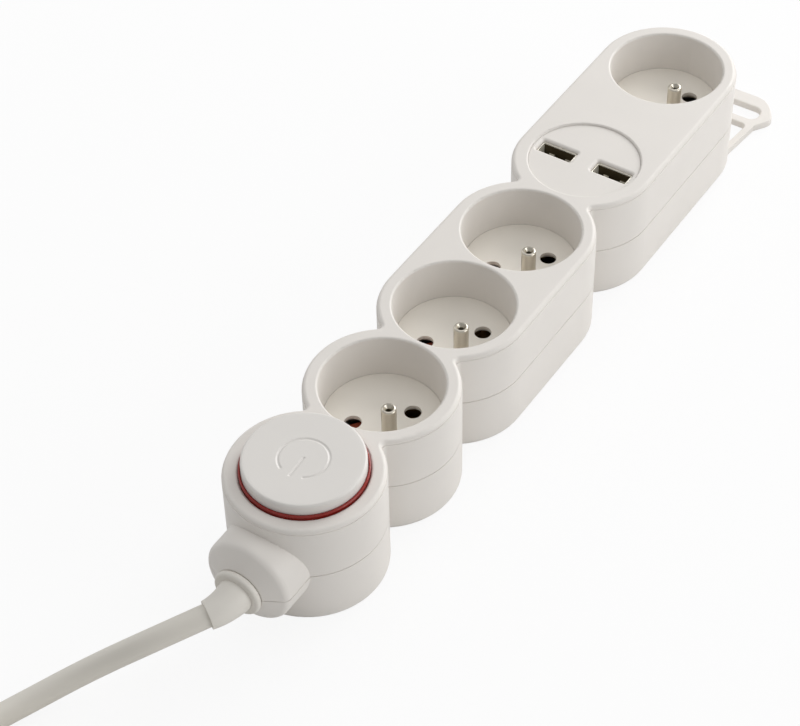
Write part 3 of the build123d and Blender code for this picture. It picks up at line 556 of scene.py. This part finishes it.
# %% The bright rims of the charging ports
port_side = 0.0106
rim_height = 0.0378
rim_sizes = {
    "length": 0.0051,
    "width": 0.0127,
    "corner": 0.0005,
    "band": 0.0006,
    "gauge": 0.0004,
    "tilt": 0.0,
    "turn": 0.0,
}
rim_places = [(port_x, side * port_side, rim_height) for side in (-1, 1)]
port_rims = grown("port_rims", rim_places, band_tree("port_rim", port_metal, 6), rim_sizes)
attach(port_rims, "housing")

# %% The crown of the light ring
crown_radius = 0.01928
crown_height = 0.0406
crown_sizes = {
    "length": 2 * crown_radius,
    "width": 2 * crown_radius,
    "corner": crown_radius,
    "band": 0.0010,
    "gauge": 0.0007,
    "tilt": 0.0,
    "turn": 0.0,
}
crown_tree = band_tree("ring_crown", ring_red, 40)
ring_crown = grown("ring_crown", [(*button_middle, crown_height)], crown_tree, crown_sizes)
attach(ring_crown, "housing")

# %% The tie round the coiled lead
tie_angle = math.radians(250.0)
tie_height = 0.00785
tie_sizes = {
    "length": 0.0230,
    "width": 0.0151,
    "corner": 0.0034,
    "band": 0.0075,
    "gauge": 0.0006,
    "tilt": math.pi / 2,
    "turn": tie_angle,
}
tie_place = (
    coil_middle.x + middle * math.cos(tie_angle),
    coil_middle.y + middle * math.sin(tie_angle),
    tie_height,
)
lead_tie = grown("lead_tie", [tie_place], band_tree("tie", switch_black, 8), tie_sizes)
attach(lead_tie, "housing")

# %% [markdown]
# ## The spring under the button
#
# A coil spring of round steel wire stands on the switch module and lifts the cap. A wire that
# follows a helix is a path with a round section, so a small tree winds it from named sizes. When
# the button goes down the spring's top goes with it.

# %% The spring's node tree
def spring_tree(name, coat):
    """Round wire along a helix that stands on its point."""
    tree, start, end = tree_with_sizes(name, ("coil radius", "wire radius", "height", "turns"))
    helix = tree.nodes.new("GeometryNodeCurveSpiral")
    helix.inputs["Resolution"].default_value = 48
    section = tree.nodes.new("GeometryNodeCurvePrimitiveCircle")
    section.inputs["Resolution"].default_value = 14
    wound = tree.nodes.new("GeometryNodeCurveToMesh")
    wound.inputs["Fill Caps"].default_value = True
    tree.links.new(start.outputs["coil radius"], helix.inputs["Start Radius"])
    tree.links.new(start.outputs["coil radius"], helix.inputs["End Radius"])
    tree.links.new(start.outputs["height"], helix.inputs["Height"])
    tree.links.new(start.outputs["turns"], helix.inputs["Rotations"])
    tree.links.new(start.outputs["wire radius"], section.inputs["Radius"])
    tree.links.new(helix.outputs["Curve"], wound.inputs["Curve"])
    tree.links.new(section.outputs["Curve"], wound.inputs["Profile Curve"])
    close_tree(tree, start, end, wound.outputs["Mesh"], coat)
    return tree


# %% The spring, standing on the switch module
spring_foot = 0.022
wire_lift = 0.0004
spring_sizes = {"coil radius": 0.00495, "wire radius": 0.00035, "height": 0.0190, "turns": 4.5}
spring_place = (*button_middle, spring_foot + wire_lift)
spring = grown("lifting_spring", [spring_place], spring_tree("spring", spring_steel), spring_sizes)
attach(spring, "housing")
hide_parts("button_spring")
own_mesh(spring)

# %% [markdown]
# ## The case screws
#
# Six screws with bevelled heads and a cross recess pull the bottom half up against the bosses.
# They are all alike, so a node tree makes one and sets it on six points. Its head is a short cone,
# its shank a cylinder, the recess is two crossed bars cut out of the head, and a helix winds the
# thread.

# %% The screw's node tree
recess_bar = (0.0034, 0.0008, 0.0024)
recess_turns = (math.radians(45.0), math.radians(135.0))
thread_turns = 14.0
thread_start = 0.008
thread_length = 0.017
thread_radius = 0.0003


def screw_tree(name, coat):
    """One screw, head down at the point and shank up, with a cross recess and a thread."""
    labels = ("head radius", "face radius", "head height", "shank radius", "shank length")
    tree, start, end = tree_with_sizes(name, labels)
    head = tree.nodes.new("GeometryNodeMeshCone")
    head.inputs["Vertices"].default_value = 40
    shank = tree.nodes.new("GeometryNodeMeshCone")
    shank.inputs["Vertices"].default_value = 24
    solid = tree.nodes.new("GeometryNodeMeshBoolean")
    solid.operation = "UNION"
    cut = tree.nodes.new("GeometryNodeMeshBoolean")
    cut.operation = "DIFFERENCE"
    cross = tree.nodes.new("GeometryNodeMeshBoolean")
    cross.operation = "UNION"
    tree.links.new(start.outputs["face radius"], head.inputs["Radius Bottom"])
    tree.links.new(start.outputs["head radius"], head.inputs["Radius Top"])
    tree.links.new(start.outputs["head height"], head.inputs["Depth"])
    tree.links.new(start.outputs["shank radius"], shank.inputs["Radius Bottom"])
    tree.links.new(start.outputs["shank radius"], shank.inputs["Radius Top"])
    tree.links.new(start.outputs["shank length"], shank.inputs["Depth"])
    tree.links.new(head.outputs["Mesh"], solid.inputs["Mesh 2"])
    tree.links.new(shank.outputs["Mesh"], solid.inputs["Mesh 2"])
    for recess_turn in recess_turns:
        bar = tree.nodes.new("GeometryNodeMeshCube")
        bar.inputs["Size"].default_value = recess_bar
        turned_bar = tree.nodes.new("GeometryNodeTransform")
        turned_bar.inputs["Rotation"].default_value = (0.0, 0.0, recess_turn)
        tree.links.new(bar.outputs["Mesh"], turned_bar.inputs["Geometry"])
        tree.links.new(turned_bar.outputs["Geometry"], cross.inputs["Mesh 2"])
    tree.links.new(solid.outputs["Mesh"], cut.inputs["Mesh 1"])
    tree.links.new(cross.outputs["Mesh"], cut.inputs["Mesh 2"])
    helix = tree.nodes.new("GeometryNodeCurveSpiral")
    helix.inputs["Resolution"].default_value = 14
    helix.inputs["Rotations"].default_value = thread_turns
    helix.inputs["Height"].default_value = thread_length
    ridge = tree.nodes.new("GeometryNodeCurvePrimitiveCircle")
    ridge.inputs["Resolution"].default_value = 3
    ridge.inputs["Radius"].default_value = thread_radius
    thread = tree.nodes.new("GeometryNodeCurveToMesh")
    thread.inputs["Fill Caps"].default_value = True
    raised = tree.nodes.new("GeometryNodeTransform")
    raised.inputs["Translation"].default_value = (0.0, 0.0, thread_start)
    tree.links.new(start.outputs["shank radius"], helix.inputs["Start Radius"])
    tree.links.new(start.outputs["shank radius"], helix.inputs["End Radius"])
    tree.links.new(helix.outputs["Curve"], thread.inputs["Curve"])
    tree.links.new(ridge.outputs["Curve"], thread.inputs["Profile Curve"])
    tree.links.new(thread.outputs["Mesh"], raised.inputs["Geometry"])
    whole = tree.nodes.new("GeometryNodeJoinGeometry")
    tree.links.new(cut.outputs["Mesh"], whole.inputs["Geometry"])
    tree.links.new(raised.outputs["Geometry"], whole.inputs["Geometry"])
    close_tree(tree, start, end, whole.outputs["Geometry"], coat)
    return tree


# %% Six screws in the base
screw_base = 0.0012
screw_rows = [(-0.1015, 0.014), (-0.0085, 0.0175), (0.083, 0.0175)]
screw_places = [(x, side * y, screw_base) for x, y in screw_rows for side in (-1, 1)]
screw_sizes = {
    "head radius": 0.0026,
    "face radius": 0.0021,
    "head height": 0.0022,
    "shank radius": 0.00115,
    "shank length": 0.0262,
}
screws = grown("case_screw_set", screw_places, screw_tree("case_screw", screw_steel), screw_sizes)
screws.data.set_sharp_from_angle(angle=math.radians(35.0))
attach(screws, "housing")
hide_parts("case_screws")

# %% [markdown]
# ## Floor and light
#
# The photograph is a product shot on white. The floor here is a pale matt sheet, and for the
# camera alone most of its light is plain white, so it reads as paper white and keeps a soft
# shadow.
#
# In the photograph the far end is the brightest and the walls that face the camera are the darkest,
# so the strongest of the four large lamps stands past the far end. One lamp on each side
# brightens the side walls, one overhead fills the deck, and an even sky opens the cups' shadows.

# %% Floor
paper_grey = 0.86
glow_share = 0.88
paper = bpy.data.materials.new("paper_white")
paper.use_nodes = True
paper_nodes = paper.node_tree.nodes
paper_links = paper.node_tree.links
paper_shader = paper_nodes["Principled BSDF"]
paper_shader.inputs["Base Color"].default_value = (paper_grey, paper_grey, paper_grey, 1.0)
paper_shader.inputs["Roughness"].default_value = 0.9
paper_glow = paper_nodes.new("ShaderNodeEmission")
paper_path = paper_nodes.new("ShaderNodeLightPath")
paper_share = paper_nodes.new("ShaderNodeMath")
paper_share.operation = "MULTIPLY"
paper_share.inputs[1].default_value = glow_share
paper_mix = paper_nodes.new("ShaderNodeMixShader")
paper_links.new(paper_path.outputs["Is Camera Ray"], paper_share.inputs[0])
paper_links.new(paper_share.outputs["Value"], paper_mix.inputs["Fac"])
paper_links.new(paper_shader.outputs["BSDF"], paper_mix.inputs[1])
paper_links.new(paper_glow.outputs["Emission"], paper_mix.inputs[2])
paper_links.new(paper_mix.outputs["Shader"], paper_nodes["Material Output"].inputs["Surface"])

floor_mesh = bpy.data.meshes.new("floor")
reach = 3.0
floor_mesh.from_pydata(
    [(-reach, -reach, 0), (reach, -reach, 0), (reach, reach, 0), (-reach, reach, 0)],
    [],
    [(0, 1, 2, 3)],
)
floor_mesh.materials.append(paper)
floor = bpy.data.objects.new("floor", floor_mesh)
bpy.context.collection.objects.link(floor)
print("floor:", 2 * reach, "m square")

# %% Lamps and sky
def soft_lamp(name, place, aim, size, power):
    """A square area lamp at place that faces aim."""
    data = bpy.data.lights.new(name, "AREA")
    data.size = size
    data.energy = power
    lamp = bpy.data.objects.new(name, data)
    lamp.location = place
    towards = Vector(aim) - Vector(place)
    lamp.rotation_euler = towards.to_track_quat("-Z", "Y").to_euler()
    bpy.context.collection.objects.link(lamp)
    return lamp


strip_middle = (0.0, 0.0, 0.03)
soft_lamp("overhead", (0.1, 0.1, 1.2), strip_middle, 1.2, 2.9)
soft_lamp("right_side", (0.3, -1.25, 0.5), strip_middle, 0.9, 6.5)
soft_lamp("left_side", (0.1, 1.2, 0.7), strip_middle, 0.9, 2.2)
soft_lamp("far_end", (1.3, -0.1, 0.7), strip_middle, 0.9, 12.5)
sky = bpy.data.worlds.new("sky")
bpy.context.scene.world = sky
sky.use_nodes = True
sky_strength = 0.41
backdrop = sky.node_tree.nodes["Background"]
backdrop.inputs["Color"].default_value = (1.0, 1.0, 1.0, 1.0)
backdrop.inputs["Strength"].default_value = sky_strength
bpy.context.scene.view_settings.view_transform = "Standard"
print("lamps: 4, sky strength:", sky_strength)
